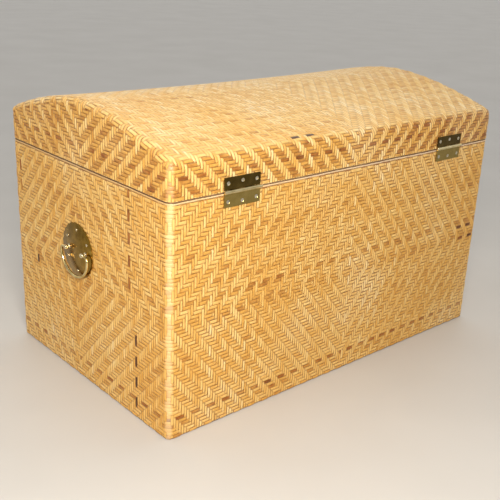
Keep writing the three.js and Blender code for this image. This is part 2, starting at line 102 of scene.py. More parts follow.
BODY_ROWS = 62
LONG_STAKES = 147
SHORT_STAKES = 81
END_PATTERN_OFFSET = -24 * MM  # the end panels' pattern is centred near the handle
LID_ROW_PITCH = 6.25 * MM
LID_ROWS = 10  # rows that go right round the lid
LID_HOOPS = 139  # strands over the flat of the crown, from front to back
LID_RUNNERS = 75  # strands along the crown from end to end
EDGE_HOOPS = np.radians([18.0, 45.0, 72.0])  # how far each hoop round the crown's ends turns down
CORNER_LIFT = 0.45  # of a level strand that turns a corner
RIM_LINE = 1 * MM  # the dark line above the rim's cane
END_GAP = 0.3 * MM  # between a strand's end and the edge that it stops at
END_ROW_INDEX = 85  # the pattern's count at the rim of the lid's ends
SIDE_ROW_INDEX = 47  # and at the rim of its front and back

# Strands of an unusual tone: millimetre boxes, low and high corner, with the tone inside them
STAKE_STAINS = [
    ((410, 164, 20), (430, 171, 178), -0.4),
    ((410, 146, 225), (430, 152, 420), 0.2),
    ((410, -235, 300), (430, -228, 400), 0.25),
    ((410, -181, 186), (430, -173, 212), -0.2),
]
WEFT_STAINS = [
    ((-430, 250, 227), (-345, 270, 234), 0.1),
    ((-430, 250, 201), (-345, 270, 208), 0.15),
]
RUNNER_STAINS = [
    ((95, 239, 400), (168, 245.5, 600), -0.1),
]

# Tones run from 0, nearly black, to 1, straw
BODY_WEFT_TONE = 0.52
BODY_STAKE_TONE = 0.62
LID_WEFT_TONE = 0.38
LID_RUNNER_TONE = 0.57
LID_HOOP_TONE = 0.68
TONE_SPREAD = 0.07
CROWN_TONE_SPREAD = 0.1
MOST_TONE_SHIFT = 0.14
DARK_ROW = -26  # a brown weft near the floor, counted from the middle of the body
DARK_ROW_TONE = 0.26
RING_TONES = {1: 0.36, 5: 0.24}  # rings of the lid that have a tone of their own
DARKEST_RING = 0.2
FAR_BACK_DARKER = 0.2  # how much the lid's back darkens by its -X end
# how much painted sheen pales the crown's strands, which also flattens them a little
CROWN_SHEEN = 0.2

# How wear changes a strand, and how unevenly the strands lie
WORN_WIDER = 0.16
WORN_THINNER = 0.45
LIFT_SCATTER = 0.07

# Fittings
PLATE_SCALLOPS = 24
SCALLOP_DEPTH = 1.9 * MM
STEPS_PER_SCALLOP = 10
PLATE_SOFTNESS = 0.35 * MM
NAIL_HEAD = 1.3 * MM
POST_HEAD_RADIUS = 4.6 * MM
POST_NECK_RADIUS = 2.6 * MM
POST_NECK_DROP = 3.9 * MM  # from the head's centre
# A post below its neck, as millimetre radii and heights: the shank, then the collar
POST_OUTLINE = [(2.4, 0), (2.4, 12.4), (4.2, 12.6), (4.4, 13.2), (3.7, 14.1), (2.7, 14.8)]
BAIL_CORNER = 9 * MM
BAIL_INNER_END = 21 * MM
PIN_TIP = 1.6 * MM
PIN_TIP_WIDER = 1.35
KNUCKLE_DEPTH = 3.6 * MM
TO_FRONT = np.array([1, -1, 1])  # mirrors a point on the back to the front

rng = np.random.default_rng(41)


# Materials


class Nodes:
    """A short way to build one material's nodes."""

    def __init__(self, name):
        self.material = bpy.data.materials.new(name)
        self.material.use_nodes = True
        self.tree = self.material.node_tree
        self.shader = self.tree.nodes["Principled BSDF"]

    def add(self, kind, **inputs):
        node = self.tree.nodes.new(kind)
        for name, value in inputs.items():
            self.feed(node.inputs[name.replace("_", " ")], value)
        return node

    def feed(self, socket, value):
        if isinstance(value, bpy.types.NodeSocket):
            self.tree.links.new(value, socket)
        else:
            socket.default_value = value

    def math(self, operation, first, second=0.0, clamp=False):
        node = self.tree.nodes.new("ShaderNodeMath")
        node.operation = operation
        node.use_clamp = clamp
        self.feed(node.inputs[0], first)
        self.feed(node.inputs[1], second)
        return node.outputs[0]

    def swing(self, value, amount):
        """A value round one half, turned into one round zero that swings by an amount."""
        return self.math("MULTIPLY", self.math("SUBTRACT", value, 0.5), amount)

    def total(self, *values):
        result = values[0]
        for value in values[1:]:
            result = self.math("ADD", result, value)
        return result

    def fade(self, value, start, end):
        """0 up to start, 1 from end on, and smooth between."""
        node = self.tree.nodes.new("ShaderNodeMapRange")
        node.interpolation_type = "SMOOTHSTEP"
        for name, number in (("From Min", start), ("From Max", end)):
            node.inputs[name].default_value = number
        self.feed(node.inputs["Value"], value)
        return node.outputs[0]

    def parts(self, vector):
        return self.add("ShaderNodeSeparateXYZ", Vector=vector).outputs

    def attribute(self, name):
        node = self.tree.nodes.new("ShaderNodeAttribute")
        node.attribute_name = name
        return node.outputs["Vector"]

    def vector(self, x=0.0, y=0.0, z=0.0):
        return self.add("ShaderNodeCombineXYZ", X=x, Y=y, Z=z).outputs[0]

    def place(self, stretch=(1.0, 1.0, 1.0)):
        """Object space, stretched."""
        space = self.tree.nodes.new("ShaderNodeTexCoord").outputs["Object"]
        return self.add("ShaderNodeMapping", Vector=space, Scale=stretch).outputs[0]

    def noise(self, vector, scale=1.0, detail=2.0, roughness=0.5):
        node = self.add("ShaderNodeTexNoise", Vector=vector, Scale=scale, Detail=detail,
                        Roughness=roughness)
        return node.outputs["Fac"]

    def ramp(self, factor, stops):
        node = self.tree.nodes.new("ShaderNodeValToRGB")
        self.feed(node.inputs[0], factor)
        elements = node.color_ramp.elements
        while len(elements) < len(stops):
            elements.new(0.5)
        for element, (position, colour) in zip(elements, stops):
            element.position = position
            element.color = (*colour, 1)
        return node.outputs[0]

    def mix(self, factor, first, second):
        node = self.tree.nodes.new("ShaderNodeMix")
        node.data_type = "RGBA"
        self.feed(node.inputs["Factor"], factor)
        self.feed(node.inputs[6], first)
        self.feed(node.inputs[7], second)
        return node.outputs[2]

    def bump(self, height, distance, strength=1.0):
        node = self.add("ShaderNodeBump", Height=height, Distance=distance, Strength=strength)
        self.feed(self.shader.inputs["Normal"], node.outputs[0])

    def set(self, **inputs):
        for name, value in inputs.items():
            self.feed(self.shader.inputs[name.replace("_", " ")], value)


def rattan(name, stops, shade_and_grime=0.75, shadow_above=None):
    """Cane: long fibres, a tone for each strand that drifts along it, painted shade in the hollows of
    the weave, made uneven like dirt, pale wear on the corners that partly stands in for their
    highlight, and a painted sheen on the crown. Across a strip runs from -1 to 1, and it can carry a
    painted shadow above a place on that scale."""
    n = Nodes(name)
    across, along, seed = n.parts(n.attribute("strand"))
    tone, height, wear_and_sheen = n.parts(n.attribute("surface"))
    grain = n.vector(n.math("MULTIPLY", across, 3.2), n.math("MULTIPLY", along, 45.0), seed)
    fibres = n.noise(grain, 1.0, 3.0)
    drift = n.noise(n.vector(seed, n.math("MULTIPLY", along, 14.0)), 1.0, 4.0, 0.7)
    patches = n.noise(n.place(), 6.5, 3.0, 0.6)
    shade = n.total(tone, n.swing(drift, 0.75), n.swing(fibres, 0.32), n.swing(patches, 0.5))
    colour = n.ramp(shade, stops)
    # Painted shade: a strip darkens towards its edges, where it meets its neighbours, and where it dips
    # under the strands that it crosses
    flanks = n.math("MULTIPLY", n.fade(n.math("ABSOLUTE", across), 0.62, 0.98), 0.85)
    dips = n.fade(n.math("MULTIPLY", height, -1.0), -0.6, 0.2)
    rubbed_and_sheen = n.math("MULTIPLY", wear_and_sheen, -1.3)
    shade_and_dirt = n.total(rubbed_and_sheen, n.swing(drift, 1.2), n.swing(patches, 1.4), shade_and_grime)
    hollow_shade_and_dirt = n.math("MULTIPLY", n.math("MAXIMUM", flanks, dips), shade_and_dirt, clamp=True)
    # The hollows are painted towards dark brown: painted shade, made uneven like dirt by the noise
    colour = n.mix(hollow_shade_and_dirt, colour, (0.27, 0.09, 0.012, 1))
    # Paleness: bleached patches, wear on the corners that is partly a painted highlight, and a painted
    # sheen on the crown
    faded_and_sheen = n.math("MULTIPLY", n.math("ADD", wear_and_sheen, n.swing(patches, 0.9)), 0.5, clamp=True)
    colour = n.mix(faded_and_sheen, colour, (0.92, 0.74, 0.47, 1))
    # A painted shadow: a dark line along the strip's upper edge, where the lid's edge overhangs it
    if shadow_above is not None:
        colour = n.mix(n.fade(across, shadow_above, shadow_above + 0.2), colour, (0.16, 0.075, 0.035, 1))
    n.set(Base_Color=colour, Roughness=n.math("ADD", n.math("MULTIPLY", fibres, 0.2), 0.38))
    n.set(Coat_Weight=0.2, Coat_Roughness=0.35, Specular_IOR_Level=0.35)
    n.bump(fibres, 0.2 * MM, 0.5)
    return n.material


def woven_rattan():
    return rattan("woven_rattan", [
        (0.0, (0.05, 0.014, 0.003)),
        (0.2, (0.33, 0.105, 0.012)),
        (0.45, (0.71, 0.37, 0.07)),
        (0.72, (0.86, 0.57, 0.19)),
        (1.0, (0.94, 0.76, 0.43)),
    ])


def pale_rattan():
    """The rim's cane, with a dark line of painted shadow along its upper edge, under the lid."""
    return rattan("pale_rattan", [
        (0.0, (0.60, 0.31, 0.09)),
        (0.45, (0.80, 0.52, 0.21)),
        (1.0, (0.92, 0.75, 0.54)),
    ], shade_and_grime=0.3, shadow_above=0.6)


def plywood():
    n = Nodes("plywood")
    grain = n.noise(n.place((3.0, 40.0, 40.0)), 6.0, 5.0, 0.6)
    figure = n.noise(n.place((1.0, 7.0, 7.0)), 4.0, 2.0)
    blend = n.math("ADD", n.math("MULTIPLY", grain, 0.6), n.math("MULTIPLY", figure, 0.4))
    colour = n.ramp(blend, [
        (0.25, (0.27, 0.145, 0.06)),
        (0.5, (0.46, 0.28, 0.13)),
        (0.8, (0.60, 0.41, 0.22)),
    ])
    n.set(Base_Color=colour, Roughness=n.math("ADD", n.math("MULTIPLY", grain, 0.25), 0.5))
    n.bump(grain, 0.4 * MM, 0.4)
    return n.material


def brass(name, dull, bright, roughness):
    """Brass with clouds of tarnish and fine rubbing marks."""
    n = Nodes(name)
    tarnish = n.noise(n.place(), 60.0, 5.0, 0.6)
    rubbing = n.noise(n.place((60.0, 60.0, 900.0)), 1.0, 2.0)
    n.set(Base_Color=n.ramp(tarnish, [(0.35, dull), (0.7, bright)]), Metallic=1.0)
    uneven = n.total(n.math("MULTIPLY", tarnish, 0.16), n.math("MULTIPLY", rubbing, 0.1), roughness - 0.13)
    n.set(Roughness=uneven)
    n.bump(rubbing, 0.02 * MM, 0.25)
    return n.material


# Weaving


class Strands:
    """Collects strips swept along paths, and makes pieces of them."""

    def __init__(self, name, body, width, material, node, slot, thickness=STRIP_THICKNESS):
        self.name = name
        self.body = body
        self.half_width = width / 2
        self.thickness = thickness
        self.material = material
        self.node = node
        self.slot = slot
        self.parts = []

    def add(self, place, out, lift, tone, wear_and_sheen=0.0, closed=False):
        """One strip along the points of place, with out pointing out of the surface there. Where
        it is worn, it is flatter and a little wider."""
        steps = len(place)
        lift, tone, wear_and_sheen = (np.broadcast_to(value, steps) for value in (lift, tone, wear_and_sheen))
        ahead = np.roll(place, -1, axis=0) - np.roll(place, 1, axis=0)
        if not closed:
            ahead[0] = place[1] - place[0]
            ahead[-1] = place[-1] - place[-2]
        across = np.cross(out, ahead)
        across /= np.linalg.norm(across, axis=1, keepdims=True)
        lengths = np.linalg.norm(np.diff(place, axis=0), axis=1)
        along = np.concatenate([[0.0], np.cumsum(lengths)])
        wander = drifting(along, 30, 60, 0.3 * MM) + drifting(along, 130, 260, 0.16 * MM)
        swell = drifting(along, 60, 120, 0.05)
        half = self.half_width * rng.uniform(0.9, 1.03) * (1 + swell + WORN_WIDER * wear_and_sheen)
        thickness = self.thickness * (1 - WORN_THINNER * wear_and_sheen)
        lift = lift + rng.normal(0, LIFT_SCATTER, steps)
        centre = place + out * (lift * LIFT - MIDDLE_DEPTH)[:, None] + across * wander[:, None]
        widths, rises = np.array(STRIP_SECTION).T
        sides = half[:, None] * widths
        heights = thickness[:, None] * rises
        points = centre[:, None] + across[:, None] * sides[..., None]
        points = points + out[:, None] * heights[..., None]
        strand = np.empty(points.shape)
        strand[..., 0] = widths
        strand[..., 1] = along[:, None]
        strand[..., 2] = rng.uniform(0, 400)
        surface = np.empty(points.shape)
        for axis, values in enumerate((tone, lift, wear_and_sheen)):
            surface[..., axis] = values[:, None]
        self.parts.append((points, strand, surface, closed))

    def make(self):
        """Makes the collected strips into as few pieces as their size allows."""
        batches = [[]]
        size = 0
        for part in self.parts:
            count = part[0].shape[0] * part[0].shape[1] * 2
            if size + count > MOST_TRIANGLES:
                batches.append([])
                size = 0
            batches[-1].append(part)
            size += count
        for number, batch in enumerate(batches, 1):
            self.make_piece(batch, number)

    def make_piece(self, parts, number):
        points, strand, surface = (
            np.concatenate([part[index].reshape(-1, 3) for part in parts]).astype(np.float32)
            for index in range(3)
        )
        loops, starts, sizes = strip_faces(parts)
        mesh = bpy.data.meshes.new(f"{self.name}_{number}")
        mesh.vertices.add(len(points))
        mesh.vertices.foreach_set("co", points.ravel())
        mesh.loops.add(len(loops))
        mesh.loops.foreach_set("vertex_index", loops)
        mesh.polygons.add(len(starts))
        mesh.polygons.foreach_set("loop_start", starts)
        mesh.polygons.foreach_set("loop_total", sizes)
        mesh.update(calc_edges=True)
        mesh.polygons.foreach_set("use_smooth", np.ones(len(starts), bool))
        mesh.set_sharp_from_angle(angle=math.radians(70))
        for label, values in (("strand", strand), ("surface", surface)):
            layer = mesh.attributes.new(label, "FLOAT_VECTOR", "POINT")
            layer.data.foreach_set("vector", values.ravel())
        add_piece(mesh, self.material, self.body, self.node)


def add_piece(mesh, material, body, node):
    mesh.materials.append(material)
    piece = bpy.data.objects.new(mesh.name, mesh)
    bpy.context.scene.collection.objects.link(piece)
    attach(piece, body)
    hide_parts(node)


def drifting(along, slowest, fastest, amount):
    """A gentle swing along a strand, different for each one."""
    reach = rng.uniform(0.4, 1) * amount
    return reach * np.sin(along * rng.uniform(slowest, fastest) + rng.uniform(0, 6.3))


def strip_faces(parts):
    """Loops, loop starts and face sizes of strips, closed on themselves or capped at both ends."""
    quads = []
    caps = []
    first = 0
    corners = len(STRIP_SECTION)
    for points, _, _, closed in parts:
        steps = points.shape[0]
        row = np.arange(steps if closed else steps - 1)[:, None]
        here = first + row * corners
        there = first + ((row + 1) % steps) * corners
        side = np.arange(corners)[None, :]
        after = (side + 1) % corners
        quads.append(np.stack([here + side, there + side, there + after, here + after], -1).reshape(-1, 4))
        if not closed:
            caps.append(first + np.arange(corners))
            caps.append(first + (steps - 1) * corners + np.arange(corners)[::-1])
        first += steps * corners
    quads = np.concatenate(quads)
    loops = [quads.ravel()] + caps
    sizes = np.concatenate([np.full(len(quads), 4), np.full(len(caps), corners)])
    starts = np.concatenate([[0], np.cumsum(sizes)[:-1]])
    return np.concatenate(loops).astype(np.int32), starts.astype(np.int32), sizes.astype(np.int32)


def level_lift(i, j):
    """The height of the level strand where it crosses an upright, from -1 to 1. The upright has
    the opposite height. i and j count crossings from the middle of the pattern, so that the
    twill's diagonals form diamonds round that middle."""
    return TWILL_LIFTS[(np.abs(i) + np.abs(j)) % len(TWILL_LIFTS)]


def with_midpoints(values, before, after):
    """The values at the crossings, with the mean between each two and an end value at each side."""
    spread = np.empty((2 * len(values) + 1, *np.shape(values)[1:]))
    spread[1::2] = values
    spread[2:-1:2] = (values[:-1] + values[1:]) / 2
    spread[0] = before
    spread[-1] = after
    return spread


def between_ends(values):
    """The values at the crossings, with the mean between each two and nothing past them."""
    return with_midpoints(values, 0, 0)[1:-1]


def strand_tone(middle, spread=TONE_SPREAD):
    return middle + float(np.clip(rng.normal(0, spread), -MOST_TONE_SHIFT, MOST_TONE_SHIFT))


def stained(tone, place, stains):
    """A strand's tone along its points, with another tone inside the boxes of its stains."""
    tones = np.full(len(place), tone)
    for low, high, stain in stains:
        inside = np.all((place > np.array(low) * MM) & (place < np.array(high) * MM), axis=1)
        tones[inside] = stain
    return tones


def evenly(count, half):
    """Places for a number of strands across a width of twice half."""
    return (np.arange(count) - (count - 1) / 2) * 2 * half / count


class Side:
    """One upright side of the trunk: its outward direction, where its uprights stand, and how far
    it reaches round its two corners. Bare places are on a corner that has no upright."""

    def __init__(self, out, places, middle, share, bare=()):
        self.out = np.array([*out, 0.0])
        self.run = np.array([-out[1], out[0], 0.0])  # anticlockwise round the trunk
        along_x = out[0] == 0
        self.distance = HALF_DEPTH if along_x else HALF_LENGTH
        self.half = (HALF_LENGTH if along_x else HALF_DEPTH) - CORNER_RADIUS
        self.share = self.half + CORNER_RADIUS * math.radians(share)
        corner = self.half + CORNER_RADIUS * np.radians(bare)
        self.crossings = np.concatenate([-corner[::-1], places, corner])
        pitch = places[1] - places[0]
        count = np.arange(len(self.crossings)) - (len(self.crossings) - 1) // 2
        self.index = count - round(middle * self.run[1] / pitch)
        self.bare = np.abs(self.crossings) > places[-1] + pitch / 2

    def plan(self, at):
        """Points on the side and its corners, and the directions out of it there."""
        turn = np.sign(at) * np.clip(np.abs(at) - self.half, 0, None) / CORNER_RADIUS
        out = np.outer(np.cos(turn), self.out) + np.outer(np.sin(turn), self.run)
        flat = np.outer(np.clip(at, -self.half, self.half), self.run)
        core = self.out * (self.distance - CORNER_RADIUS) + flat
        return core + out * CORNER_RADIUS, out

    def level_strand(self, row):
        """A level strand's points, outward directions, lifts and wear along the side."""
        at = with_midpoints(self.crossings, -self.share, self.share)[1:]
        over = np.where(self.bare, CORNER_LIFT, level_lift(self.index, row))
        lift = with_midpoints(over, CORNER_LIFT, CORNER_LIFT)[1:]
        place, out = self.plan(at)
        # Wear round the corners: the strips are flattened there, and the material paints them pale, partly
        # wear and partly a painted highlight
        wear_and_sheen = np.clip((np.abs(at) - self.half + 1 * MM) / (7 * MM), 0, 1)
        return place, out, lift, wear_and_sheen


def joined(strands):
    return [np.concatenate(values) for values in zip(*strands)]


def corner_places(flat_count, half, turns):
    """Places for uprights across the flat of a side, and more at angles round both corners."""
    corner = half + CORNER_RADIUS * np.radians(turns)
    return np.concatenate([-corner[::-1], evenly(flat_count, half), corner])


def body_sides():
    long_places = corner_places(LONG_STAKES, HALF_LENGTH - CORNER_RADIUS, [13])
    short_places = corner_places(SHORT_STAKES, HALF_DEPTH - CORNER_RADIUS, [13])
    return [
        Side((1, 0), short_places, END_PATTERN_OFFSET, 45, bare=[34]),
        Side((0, 1), long_places, 0, 45, bare=[34]),
        Side((-1, 0), short_places, END_PATTERN_OFFSET, 45, bare=[34]),
        Side((0, -1), long_places, 0, 45, bare=[34]),
    ]


def weave_body(material):
    sides = body_sides()
    top = RIM_LOW.z - END_GAP
    pitch = (top - BODY_LOW.z) / BODY_ROWS
    rows = np.arange(BODY_ROWS)
    heights = BODY_LOW.z + (rows + 0.5) * pitch
    row_index = rows - BODY_ROWS // 2
    wefts = Strands("body_weft", "body", pitch * WEFT_WIDTH, material, "body_weave", "rattan_weave")
    for row, height in zip(row_index, heights):
        place, out, lift, wear_and_sheen = joined([side.level_strand(row) for side in sides])
        place[:, 2] = height
        tone = DARK_ROW_TONE if row == DARK_ROW else strand_tone(BODY_WEFT_TONE)
        wefts.add(place, out, lift, stained(tone, place, WEFT_STAINS), wear_and_sheen * 0.75, closed=True)
    wefts.make()
    levels = with_midpoints(heights, BODY_LOW.z + END_GAP, top)
    for name, side in zip(("right", "back", "left", "front"), sides):
        middle = side.index.size // 2
        width = (side.crossings[middle + 1] - side.crossings[middle]) * STAKE_WIDTH
        stakes = Strands(f"body_{name}_stake", "body", width, material, "body_weave", "rattan_weave")
        plan, outs = side.plan(side.crossings[~side.bare])
        for foot, out, i in zip(plan, outs, side.index[~side.bare]):
            place = np.tile(foot, (len(levels), 1))
            place[:, 2] = levels
            lift = -with_midpoints(level_lift(i, row_index), 1.0, 1.0)
            tone = stained(strand_tone(BODY_STAKE_TONE), place, STAKE_STAINS)
            stakes.add(place, np.tile(out, (len(levels), 1)), lift, tone)
        stakes.make()


# The lid's surface


def crown_rise(x, y):
    peak = CROWN_IN_MIDDLE + (CROWN_AT_ENDS - CROWN_IN_MIDDLE) * (np.abs(x) / HALF_LENGTH) ** 2
    return peak * (1 - np.minimum(np.abs(y) / HALF_DEPTH, 1) ** CROWN_POWER)


def edge_drop(distance):
    into = np.clip(EDGE_RADIUS - distance, 0, EDGE_RADIUS)
    return EDGE_RADIUS - np.sqrt(EDGE_RADIUS**2 - into**2)


def crown_height(x, y):
    return SHOULDER + crown_rise(x, y) - edge_drop(HALF_DEPTH - np.abs(y))


def crown_points(x, y):
    """Points on the crown, short of its ends, with the directions out of it."""
    x, y = np.broadcast_arrays(x, y)
    step = 0.2 * MM
    slope = (crown_height(x, y + step) - crown_height(x, y - step)) / (2 * step)
    place = np.column_stack([x, y, crown_height(x, y)])
    out = np.column_stack([np.zeros(len(place)), -slope, np.ones(len(place))])
    return place, out / np.linalg.norm(out, axis=1, keepdims=True)


def lean_in(place, out, height):
    """Moves points from an upright side to a height on the rounded edge above it."""
    inset = np.zeros(len(place))
    for _ in range(4):
        moved = place - out * inset[:, None]
        below = np.clip(SHOULDER + crown_rise(moved[:, 0], moved[:, 1]) - height, 0, EDGE_RADIUS)
        inset = EDGE_RADIUS - np.sqrt(EDGE_RADIUS**2 - (EDGE_RADIUS - below) ** 2)
    level = (EDGE_RADIUS - inset) / EDGE_RADIUS
    moved = place - out * inset[:, None]
    moved[:, 2] = height
    tilted = out * level[:, None]
    tilted[:, 2] = np.sqrt(1 - level**2)
    return moved, tilted


def runner_places():
    """Where the runners lie across the crown: evenly over its curve, between the highest rings."""
    top_row = np.array([0.0, HALF_DEPTH, LID_LOW.z + (LID_ROWS - 0.5) * LID_ROW_PITCH])
    ring, _ = lean_in(top_row[None, :], np.array([[0.0, 1.0, 0.0]]), top_row[2:])
    y = np.linspace(-ring[0, 1], ring[0, 1], 2001)
    z = crown_height(0.7 * HALF_LENGTH, y)
    along = np.concatenate([[0.0], np.cumsum(np.hypot(np.diff(y), np.diff(z)))])
    return np.interp(np.arange(1, LID_RUNNERS + 1) / (LID_RUNNERS + 1) * along[-1], along, y)


RUNNERS = runner_places()
RUNNER_INDEX = np.arange(LID_RUNNERS) - LID_RUNNERS // 2
RUNNER_PITCH = RUNNERS[LID_RUNNERS // 2 + 1] - RUNNERS[LID_RUNNERS // 2]


def lid_sides():
    hoops = corner_places(LID_HOOPS, HALF_LENGTH - CORNER_RADIUS, np.degrees(EDGE_HOOPS[:2]))
    return [
        Side((1, 0), RUNNERS, 0, 26),
        Side((0, 1), hoops, 0, 64),
        Side((-1, 0), RUNNERS, 0, 26),
        Side((0, -1), hoops, 0, 64),
    ]


LID_SIDES = lid_sides()
ROW_HEIGHTS = LID_LOW.z + (np.arange(LID_ROWS) + 0.5) * LID_ROW_PITCH


def face_top(y):
    """The height where an end face's flat part stops and its top edge starts to round."""
    return SHOULDER - EDGE_RADIUS + crown_rise(HALF_LENGTH, y)


def far_back_shade(place):
    """How much darker the lid's back is towards its far end."""
    on_back = place[:, 1] > HALF_DEPTH - EDGE_RADIUS
    return FAR_BACK_DARKER * on_back * np.clip(-place[:, 0] / HALF_LENGTH, 0, 1)


def weave_lid_rings(material):
    strands = Strands("lid_weft", "lid", LID_ROW_PITCH * WEFT_WIDTH, material, "lid_weave", "rattan_weave")
    for row, height in enumerate(ROW_HEIGHTS):
        rows = [END_ROW_INDEX - row, SIDE_ROW_INDEX - row] * 2
        place, out, lift, wear_and_sheen = joined([side.level_strand(j) for side, j in zip(LID_SIDES, rows)])
        place, out = lean_in(place, out, height)
        tone = RING_TONES.get(row) or strand_tone(LID_WEFT_TONE)
        tone = np.maximum(tone - far_back_shade(place), DARKEST_RING)
        strands.add(place, out, lift, tone, wear_and_sheen * 0.5, closed=True)
    strands.make()


def weave_lid_arches(material):
    """Short level strands that fill the arch of each end face, above the rings."""
    width = LID_ROW_PITCH * WEFT_WIDTH
    strands = Strands("lid_arch_weft", "lid", width, material, "lid_weave", "rattan_weave")
    for end in (1, -1):
        row = LID_ROWS
        height = LID_LOW.z + (row + 0.5) * LID_ROW_PITCH
        while height < face_top(0.0):
            inside = face_top(RUNNERS) > height - 2 * MM
            ys = RUNNERS[inside]
            margin = RUNNER_PITCH / 2
            span = with_midpoints(ys, ys[0] - margin, ys[-1] + margin)
            face = np.full(len(span), end * HALF_LENGTH)
            place = np.column_stack([face, end * span, np.full(len(span), height)])
            out = np.tile([float(end), 0.0, 0.0], (len(span), 1))
            place, out = lean_in(place, out, height)
            lift = with_midpoints(level_lift(RUNNER_INDEX[inside], END_ROW_INDEX - row), -1.0, -1.0)
            strands.add(place, out, lift, strand_tone(LID_WEFT_TONE))
            row += 1
            height += LID_ROW_PITCH
    strands.make()


def runner_face(y, k, end):
    """A runner's points on one end face, from its top edge to the rim, with its lifts."""
    count = int((face_top(y) + 2 * MM - LID_LOW.z) / LID_ROW_PITCH)
    rows = np.arange(count)[::-1]
    heights = LID_LOW.z + (rows + 0.5) * LID_ROW_PITCH
    levels = with_midpoints(heights, heights[0] + LID_ROW_PITCH / 2, LID_LOW.z + END_GAP)
    side = LID_SIDES[0] if end > 0 else LID_SIDES[2]
    plan, outs = side.plan(np.full(len(levels), y * end))
    place, out = lean_in(plan, outs, levels)
    edge = edge_hoop_lift(k, 2)
    lift = with_midpoints(-level_lift(k, END_ROW_INDEX - rows), edge, 1.0)
    return place[1:], out[1:], lift[1:]


def edge_hoop_lift(k, which):
    """A runner's lift where it crosses one of the hoops round the crown's ends."""
    return level_lift(k, LID_HOOPS // 2 + 1 + which)


def runner_edge(y, k, end):
    """A runner's points over one rounded top edge, from the crown outwards."""
    turns = between_ends(EDGE_HOOPS)[1:]
    over = np.array([edge_hoop_lift(k, which) for which in range(len(EDGE_HOOPS))])
    lift = between_ends(over)[1:]
    middle = crown_height(HALF_LENGTH, y) - EDGE_RADIUS
    reach = HALF_LENGTH - EDGE_RADIUS + EDGE_RADIUS * np.sin(turns)
    place = np.column_stack([end * reach, np.full(len(turns), y), middle + EDGE_RADIUS * np.cos(turns)])
    out = np.column_stack([end * np.sin(turns), np.zeros(len(turns)), np.cos(turns)])
    return place, out, lift


def weave_lid_runners(material):
    strands = Strands("lid_runner", "lid", RUNNER_PITCH * WEFT_WIDTH, material, "lid_weave", "rattan_weave")
    flat = evenly(LID_HOOPS, HALF_LENGTH - CORNER_RADIUS)
    hoop_index = np.arange(LID_HOOPS) - LID_HOOPS // 2
    for y, k in zip(RUNNERS, RUNNER_INDEX):
        top, top_out = crown_points(between_ends(flat), y)
        top_lift = between_ends(level_lift(hoop_index, k))
        left, right = (joined([runner_edge(y, k, end), runner_face(y, k, end)]) for end in (-1, 1))
        place = np.concatenate([left[0][::-1], top, right[0]])
        out = np.concatenate([left[1][::-1], top_out, right[1]])
        lift = np.concatenate([left[2][::-1], top_lift, right[2]])
        tone = stained(strand_tone(LID_RUNNER_TONE, CROWN_TONE_SPREAD), place, RUNNER_STAINS)
        strands.add(place, out, lift, tone, crown_sheen(out))
    strands.make()


def crown_sheen(out):
    """A painted sheen: the crown is painted paler than the sides, the more so where it faces up."""
    return CROWN_SHEEN * np.clip((out[:, 2] - 0.5) / 0.4, 0, 1)


def hoop_crossings(x, angle):
    """Where a hoop crosses the rings and the runners, from the back rim over the crown to the
    front, and the directions out there. Round the crown's ends the angle says how far the hoop has
    turned down."""
    side = LID_SIDES[1]
    foot = x if angle == 0 else np.sign(x) * (side.half + CORNER_RADIUS * angle)
    plan, outs = side.plan(np.full(LID_ROWS, -foot))
    rings, ring_out = lean_in(plan, outs, ROW_HEIGHTS)
    top, top_out = crown_points(np.full(LID_RUNNERS, x), RUNNERS[::-1])
    if angle:
        top[:, 0] = np.sign(x) * (HALF_LENGTH - EDGE_RADIUS + EDGE_RADIUS * math.sin(angle))
        top[:, 2] -= EDGE_RADIUS * (1 - math.cos(angle))
        top_out *= math.cos(angle)
        top_out[:, 0] = np.sign(x) * math.sin(angle)
    place = np.concatenate([rings, top, rings[::-1] * TO_FRONT])
    return place, np.concatenate([ring_out, top_out, ring_out[::-1] * TO_FRONT])


def rim_to_rim(place, out, lift):
    """The points of a hoop that reaches down to the rim, front and back."""
    rim = np.array([place[0, 0], place[0, 1], LID_LOW.z + END_GAP])
    place = with_midpoints(place, rim, rim * TO_FRONT)
    return place, with_midpoints(out, out[0], out[-1]), with_midpoints(lift, 1.0, 1.0)


def weave_lid_hoops(material):
    width = STAKE_WIDTH * 2 * LID_SIDES[1].half / LID_HOOPS
    strands = Strands("lid_hoop", "lid", width, material, "lid_weave", "rattan_weave")
    middle = LID_HOOPS // 2
    hoops = [(x, 0.0, i - middle) for i, x in enumerate(evenly(LID_HOOPS, LID_SIDES[1].half))]
    for end in (-1, 1):
        for which, angle in enumerate(EDGE_HOOPS):
            hoops.append((end * HALF_LENGTH, angle, end * (middle + 1 + which)))
    ring_index = SIDE_ROW_INDEX - np.arange(LID_ROWS)
    crossed = np.concatenate([ring_index, RUNNER_INDEX[::-1], ring_index[::-1]])
    for x, angle, i in hoops:
        place, out = hoop_crossings(x, angle)
        lift = -level_lift(i, crossed)
        if angle == EDGE_HOOPS[-1]:  # the furthest round, which only crosses the runners
            on_crown = (values[LID_ROWS:-LID_ROWS] for values in (place, out, lift))
            place, out, lift = (between_ends(values) for values in on_crown)
        else:
            place, out, lift = rim_to_rim(place, out, lift)
        out = out / np.linalg.norm(out, axis=1, keepdims=True)
        tone = strand_tone(LID_HOOP_TONE, CROWN_TONE_SPREAD) - far_back_shade(place)
        strands.add(place, out, lift, tone, crown_sheen(out))
    strands.make()


def weave_lid(material):
    weave_lid_rings(material)
    weave_lid_arches(material)
    weave_lid_runners(material)
    weave_lid_hoops(material)


